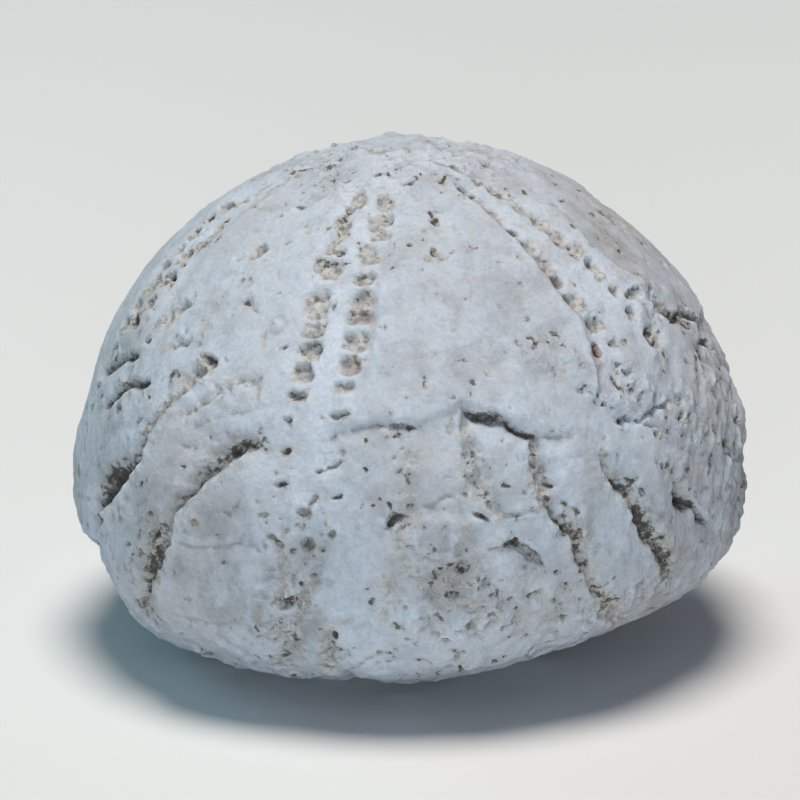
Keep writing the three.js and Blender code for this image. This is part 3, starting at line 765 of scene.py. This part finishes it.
def carve_underside(stone, rng):
    """The mouth, the rows of small pores that lead to it and the vent low on the back."""
    draw = rng.uniform
    stone.swell(FRONT_AZIMUTH, -68, 2.8, 2.2, -1.3)
    stone.area("pit", FRONT_AZIMUTH, -68, 2.4, 1.9, 0.9)
    stone.area("dirt_and_shadow", FRONT_AZIMUTH, -68, 2.0, 1.5, 0.7)
    stone.swell(FRONT_AZIMUTH + 180, -12, 1.8, 2.2, -1.0)
    stone.area("dirt_and_shadow", FRONT_AZIMUTH + 180, -12, 1.3, 1.6, 0.7)
    for path in AMBULACRA.values():
        azimuth = path[-1][0]
        for side in (-3.5, 3.5):
            for latitude in np.arange(-26, -62, -3.5):
                stone.pit(
                    azimuth + side * (1 + draw(-0.2, 0.2)), latitude + draw(-0.6, 0.6),
                    draw(0.24, 0.4), draw(0.2, 0.3), draw(0.1, 0.25), dirt_and_shadow=0.6,
                )
    stone.area("rough", 0, -80, 10, 10, 0.5)


def weather(stone):
    """Uneven growth, wear, pores and grain over the whole stone."""
    p = stone.base
    flank = np.exp(-(((stone.azimuth - 74) / 17) ** 2) - ((stone.latitude - 4) / 20) ** 2)
    stone.paint("rough", slice(None), 0.4 * flank)
    stone.paint("rough", slice(None), 0.4 * smoothstep(-stone.latitude, 2, 18))
    stone.paint("rough", slice(None), 0.7 * smoothstep(stone.latitude, 58, 74))
    rough = stone.masks["rough"] * (0.85 + 0.5 * np.clip(rough_noise(p, 2.2, 46, 2), -1, 1))
    rough = np.clip(rough, 0, 1)
    stone.masks["rough"] = rough
    floor = np.clip(stone.masks["pit"] + stone.masks["dirt_and_shadow"], 0, 1)
    stone.raised += 0.10 * rough_noise(p, 9.0, 41, 2)
    stone.raised += (0.05 + 0.06 * rough) * rough_noise(p, 2.6, 42, 2)
    stone.raised += (0.024 + 0.20 * rough) * np.clip(rough_noise(p, 1.25, 51, 2), -0.7, 1.1)
    stone.raised += (0.025 + 0.07 * rough + 0.05 * floor) * rough_noise(p, 0.62, 43, 2, 0.7)
    stone.raised += 0.11 * floor * rough_noise(p, 0.42, 44, 2)
    level = np.linalg.norm(p[:, :2], axis=1)
    bent = p + 0.5 * np.stack([lump_noise(p, 3.0, seed) for seed in (61, 62, 63)], -1)
    around = np.arctan2(bent[:, 0], -bent[:, 1])
    grain = np.stack([around * level * 1.7 - 0.5 * bent[:, 2], 0.7 * bent[:, 2], level * 0.3], -1)
    stone.raised += 0.11 * flank * rough_noise(grain, 1.0, 45, 3, 0.7)
    pores = np.clip((rough_noise(p, 0.6, 47, 2, 0.7) - 1.3 + rough) / 0.5, 0, 1)
    stone.sunk += 0.12 * pores * (1 - floor)
    stone.paint("dirt_and_shadow", slice(None), 0.4 * pores)
    stone.paint("pit", slice(None), 0.5 * pores)


# ---------------------------------------------------------------- the mesh


def cube_sphere(grid, pull):
    """Directions from the cells of a blown-up cube, crowded to the front, and the quads between them."""
    steps = np.tan(np.linspace(-math.pi / 4, math.pi / 4, grid + 1))
    a, b = (part.ravel() for part in np.meshgrid(steps, steps, indexing="ij"))
    corner = np.arange(grid * (grid + 1)).reshape(grid, grid + 1)[:, :-1].ravel()
    cell = np.stack([corner, corner + grid + 1, corner + grid + 2, corner + 1], -1)
    points, quads = [], []
    for axis in range(3):
        for sign in (-1, 1):
            face = np.stack([np.full_like(a, sign), a, sign * b], -1)
            quads.append(cell + len(points) * len(a))
            points.append(np.roll(face, axis, axis=1))
    points, quads = np.concatenate(points), np.concatenate(quads)
    _, first, merged = np.unique(np.round(points, 7), axis=0, return_index=True, return_inverse=True)
    points, quads = points[first], merged.ravel()[quads]
    points /= np.linalg.norm(points, axis=1)[:, None]
    points += pull * unit(0, 20)
    return points / np.linalg.norm(points, axis=1)[:, None], quads


def spread(values, quads, times):
    """Mixes each value half and half with the mean of its neighbours, over and over."""
    ends = np.concatenate([quads, np.roll(quads, -1, axis=1)], axis=1).reshape(-1)
    starts = np.concatenate([np.roll(quads, -1, axis=1), quads], axis=1).reshape(-1)
    count = np.bincount(starts, minlength=len(values))
    for _ in range(times):
        values = 0.5 * values + 0.5 * np.bincount(starts, values[ends], len(values)) / count
    return values


def shade_hollows(stone, quads):
    """Paints shade into what lies lower than its surroundings, and a highlight onto what stands proud of
    them.
    """
    height = stone.raised - stone.sunk
    for times, depth in ((10, 0.09), (60, 0.24)):
        gap = spread(height, quads, times) - height
        stone.paint("hollow", slice(None), np.clip(gap / depth, 0, 1))
        stone.paint("clean_and_highlight", slice(None), 0.8 * np.clip(-gap / depth, 0, 1))


def stone_mesh():
    """The whole stone as one closed mesh in metres, with the masks as attributes of its points."""
    directions, quads = cube_sphere(GRID, FRONT_PULL)
    stone = Relief(directions)
    rng = np.random.default_rng(7)
    carve_bands(stone)
    carve_pits(stone, rng)
    carve_front(stone)
    for centre in BACK_PANELS:
        carve_back_panel(stone, centre, rng)
    carve_underside(stone, rng)
    weather(stone)
    shade_hollows(stone, quads)

    lean = math.radians(LEAN)
    turn = np.array([[math.cos(lean), 0, -math.sin(lean)], [0, 1, 0], [math.sin(lean), 0, math.cos(lean)]])
    upright = directions @ turn.T
    smooth = np.linalg.norm(stone.base, axis=1)
    to_rest = REST_LEVEL / np.maximum(-upright[:, 2], 0.01)
    points = upright * np.minimum(smooth + stone.raised - stone.sunk, to_rest)[:, None]
    points = (points + [*AXIS, REST_LEVEL]) * MM + [0, 0, cad_low[2]]

    mesh = bpy.data.meshes.new("fossil_stone_fine")
    mesh.from_pydata(points.tolist(), [], quads.tolist())
    for name, values in stone.masks.items():
        attribute = mesh.attributes.new(name, "FLOAT", "POINT")
        attribute.data.foreach_set("value", values.astype(np.float32))
    fine = add_object("fossil_stone_fine", mesh)
    thin = fine.modifiers.new("Decimate", "DECIMATE")
    thin.ratio = TRIANGLES / (2 * len(quads))
    thinned = bpy.data.meshes.new_from_object(fine.evaluated_get(bpy.context.evaluated_depsgraph_get()))
    bpy.data.objects.remove(fine)
    thinned.shade_smooth()
    return thinned


# ---------------------------------------------------------------- the stone's finish


# The grey stain colour also serves as painted shade in hollows, the sediment colour as painted shadow, the
# pale clean colour as painted highlight and the dark green as painted teal shade.
CHALK = (0.465, 0.515, 0.585)
CLEAN_AND_HIGHLIGHT = (0.58, 0.64, 0.735)
GREY = (0.34, 0.36, 0.40)
WARM = (0.41, 0.405, 0.41)
SAND = (0.49, 0.475, 0.445)
BROWN = (0.19, 0.165, 0.145)
SEDIMENT_AND_SHADOW = (0.06, 0.052, 0.043)
GREEN_AND_SHADE = (0.05, 0.065, 0.058)
RUSTY = (0.20, 0.085, 0.065)
STAIN_AND_SHADE = (0.335, 0.335, 0.345)


class Shader:
    """Short ways to add and join a material's nodes."""

    def __init__(self, material):
        material.use_nodes = True
        self.tree = material.node_tree
        self.tree.nodes.clear()
        coordinates = self.add("ShaderNodeTexCoord").outputs["Object"]
        scaled = self.add("ShaderNodeVectorMath", {0: coordinates}, operation="SCALE")
        scaled.inputs["Scale"].default_value = 1 / MM
        self.place = scaled.outputs[0]

    def add(self, kind, inputs=None, **settings):
        node = self.tree.nodes.new(kind)
        for name, value in settings.items():
            setattr(node, name, value)
        for name, value in (inputs or {}).items():
            if isinstance(value, bpy.types.NodeSocket):
                self.tree.links.new(value, node.inputs[name])
            else:
                node.inputs[name].default_value = value
        return node

    def noise(self, size, detail, roughness):
        """Noise whose lumps are about size millimetres across."""
        inputs = {"Vector": self.place, "Scale": 0.6 / size, "Detail": detail, "Roughness": roughness}
        return self.add("ShaderNodeTexNoise", inputs).outputs["Fac"]

    def mask(self, name):
        return self.add("ShaderNodeAttribute", attribute_name=name).outputs["Fac"]

    def math(self, operation, a, b):
        return self.add("ShaderNodeMath", {0: a, 1: b}, operation=operation).outputs[0]

    def ramp(self, value, low, high, start=0.0, end=1.0):
        """Runs smoothly from start to end as value goes from low to high."""
        inputs = {"Value": value, "From Min": low, "From Max": high, "To Min": start, "To Max": end}
        return self.add("ShaderNodeMapRange", inputs, interpolation_type="SMOOTHSTEP").outputs[0]

    def over(self, colour, amount, under):
        """Lays a colour over what is under it."""
        node = self.add("ShaderNodeMix", data_type="RGBA")
        for socket, value in zip((node.inputs[0], node.inputs[6], node.inputs[7]), (amount, under, colour)):
            if isinstance(value, bpy.types.NodeSocket):
                self.tree.links.new(value, socket)
            else:
                socket.default_value = value if isinstance(value, float) else (*value, 1)
        return node.outputs[2]


def stone_material():
    """Chalky weathered stone: pale plates, sandy pit floors, dark sediment and painted shadow in the cracks.
    """
    material = bpy.data.materials.new("fossil_stone")
    s = Shader(material)
    cloud = s.noise(6.0, 3, 0.55)
    blotch = s.noise(1.9, 4, 0.62)
    fleck = s.noise(0.5, 3, 0.62)
    grit = s.noise(0.26, 2, 0.6)
    grain = s.noise(0.15, 2, 0.6)
    rough = s.mask("rough")

    mottle = s.noise(0.95, 4, 0.7)
    colour = s.over(GREY, s.ramp(blotch, 0.46, 0.70, 0.0, 0.5), CHALK)
    colour = s.over(STAIN_AND_SHADE, s.ramp(mottle, 0.50, 0.66, 0.0, 0.34), colour)
    colour = s.over(WARM, s.ramp(cloud, 0.48, 0.66, 0.0, 0.55), colour)
    # Pale clean stone, with painted highlight on proud edges and lumps.
    colour = s.over(CLEAN_AND_HIGHLIGHT, s.math("MULTIPLY", s.mask("clean_and_highlight"), s.ramp(blotch, 0.30, 0.56, 1.0, 0.4)), colour)
    stained = s.math("MULTIPLY", s.mask("stain"), s.ramp(blotch, 0.38, 0.60, 0.2, 1.0))
    colour = s.over(STAIN_AND_SHADE, stained, colour)
    worn = s.math("MULTIPLY", s.ramp(fleck, 0.48, 0.62), s.ramp(rough, 0.0, 1.0, 0.28, 0.62))
    colour = s.over(STAIN_AND_SHADE, worn, colour)

    ragged = s.ramp(fleck, 0.30, 0.70, -0.2, 0.2)
    crumbs = s.ramp(grit, 0.32, 0.68, -0.3, 0.3)
    pit = s.ramp(s.math("ADD", s.mask("pit"), ragged), 0.0, 0.95, 0.0, 0.8)
    colour = s.over(SAND, pit, colour)
    pores = s.ramp(s.math("ADD", crumbs, ragged), -0.1, 0.35, 0.0, 0.85)
    colour = s.over(BROWN, s.math("MULTIPLY", pit, pores), colour)
    # Painted shade: grey laid into hollows and at the foot of steps.
    hollow = s.ramp(s.math("ADD", s.mask("hollow"), ragged), 0.15, 1.1, 0.0, 0.65)
    colour = s.over(STAIN_AND_SHADE, hollow, colour)
    # Dark green in furrows and on the left side, partly painted teal shade.
    green = s.math("MULTIPLY", s.mask("green"), s.ramp(blotch, 0.35, 0.6, 0.4, 1.0))
    colour = s.over(GREEN_AND_SHADE, s.math("MULTIPLY", green, 0.8), colour)
    colour = s.over(RUSTY, s.math("MULTIPLY", s.mask("rust"), s.ramp(fleck, 0.38, 0.62, 0.2, 0.95)), colour)
    # Dark sediment, with painted shadow on the upper walls of pits and under the lips of furrows.
    patchy = s.math("ADD", crumbs, s.ramp(blotch, 0.36, 0.64, -0.2, 0.2))
    dirt_and_shadow = s.math("MULTIPLY", s.math("ADD", patchy, s.mask("dirt_and_shadow")), s.ramp(s.mask("dirt_and_shadow"), 0.0, 0.25))
    colour = s.over(SEDIMENT_AND_SHADOW, s.ramp(dirt_and_shadow, 0.25, 0.85, 0.0, 0.93), colour)

    specks = s.math("ADD", s.ramp(grain, 0.68, 0.78), s.math("MULTIPLY", rough, s.ramp(grain, 0.56, 0.66)))
    colour = s.over(BROWN, s.math("MULTIPLY", specks, s.ramp(blotch, 0.42, 0.66, 0.15, 0.8)), colour)
    shade = s.math("ADD", s.ramp(grain, 0.25, 0.75, -0.07, 0.07), s.ramp(fleck, 0.28, 0.72, 0.88, 1.08))
    tone = s.add("ShaderNodeVectorMath", {0: colour}, operation="SCALE")
    s.tree.links.new(shade, tone.inputs["Scale"])

    porous = s.ramp(s.math("ADD", s.mask("pit"), rough), 0.0, 1.2, 0.4, 1.3)
    height = s.math("ADD", s.math("MULTIPLY", fleck, 1.2), s.math("MULTIPLY", grain, 0.8))
    height = s.math("MULTIPLY", height, porous)
    bump = s.add("ShaderNodeBump", {"Strength": 0.8, "Distance": 0.16 * MM, "Height": height})
    inputs = {
        "Base Color": tone.outputs[0],
        "Roughness": s.ramp(fleck, 0.3, 0.7, 0.85, 0.95),
        "Normal": bump.outputs[0],
        "Specular IOR Level": 0.25,
    }
    surface = s.add("ShaderNodeBsdfPrincipled", inputs)
    s.add("ShaderNodeOutputMaterial", {"Surface": surface.outputs[0]})
    return material


# ---------------------------------------------------------------- floor, light and camera


def studio_floor():
    """A plain pale floor, wide enough that no edge of it shows."""
    reach = 4.0
    mesh = bpy.data.meshes.new("studio_floor")
    corners = [(-reach, -reach, 0), (reach, -reach, 0), (reach, reach, 0), (-reach, reach, 0)]
    mesh.from_pydata(corners, [], [(0, 1, 2, 3)])
    material = bpy.data.materials.new("studio_floor")
    material.use_nodes = True
    surface = material.node_tree.nodes["Principled BSDF"]
    surface.inputs["Base Color"].default_value = (0.69, 0.70, 0.71, 1)
    surface.inputs["Roughness"].default_value = 0.7
    surface.inputs["Specular IOR Level"].default_value = 0.2
    mesh.materials.append(material)
    return add_object("studio_floor", mesh)


def soft_light(name, place, target, size, power, colour):
    """A round area light at a place, turned to its target."""
    light = bpy.data.lights.new(name, "AREA")
    light.shape = "DISK"
    light.size = size
    light.energy = power
    light.color = colour
    lamp = add_object(name, light)
    lamp.location = place
    lamp.rotation_euler = (target - place).to_track_quat("-Z", "Y").to_euler()


def studio_light(centre):
    """A large soft light overhead, a cooler one low in front and a faint one behind on the left."""
    soft_light("key", centre + Vector((0, 0, 0.65)), centre, 0.32, 4.6, (1.0, 0.94, 0.87))
    soft_light("fill", centre + Vector((-0.04, -0.64, 0.03)), centre, 0.26, 2.9, (0.83, 0.95, 1.0))
    soft_light("rim", centre + Vector((-0.50, 0.35, 0.25)), centre, 0.32, 0.8, (0.3, 0.9, 1.0))
    world = bpy.data.worlds.new("studio")
    world.use_nodes = True
    back = world.node_tree.nodes["Background"]
    back.inputs["Color"].default_value = (0.62, 0.72, 1.0, 1)
    back.inputs["Strength"].default_value = 0.09
    bpy.context.scene.world = world


def studio_camera(centre):
    """Looks down on the front a little, with a long lens and the stone filling most of the frame."""
    tilt = math.radians(16.7)
    up_shift, left_shift = 3.97, 0.64
    distance = 0.42
    back = Vector((0, -math.cos(tilt), math.sin(tilt)))
    up = Vector((0, math.sin(tilt), math.cos(tilt)))
    target = centre + up * up_shift * MM - Vector((1, 0, 0)) * left_shift * MM
    lens = bpy.data.cameras.new("camera")
    lens.lens = 303
    lens.clip_start = 0.01
    camera = add_object("camera", lens)
    camera.location = target + back * distance
    camera.rotation_euler = (-back).to_track_quat("-Z", "Y").to_euler()
    bpy.context.scene.camera = camera


def main():
    centre = Vector((*AXIS, REST_LEVEL)) * MM + Vector((0, 0, cad_low[2]))
    studio_camera(centre)
    studio_light(centre)
    studio_floor()
    bpy.context.scene.view_settings.view_transform = "Standard"

    stone = add_object("fossil_stone_surface", stone_mesh())
    stone.data.materials.append(stone_material())
    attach(stone, "root")
    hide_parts(CAD_NODE)


main()
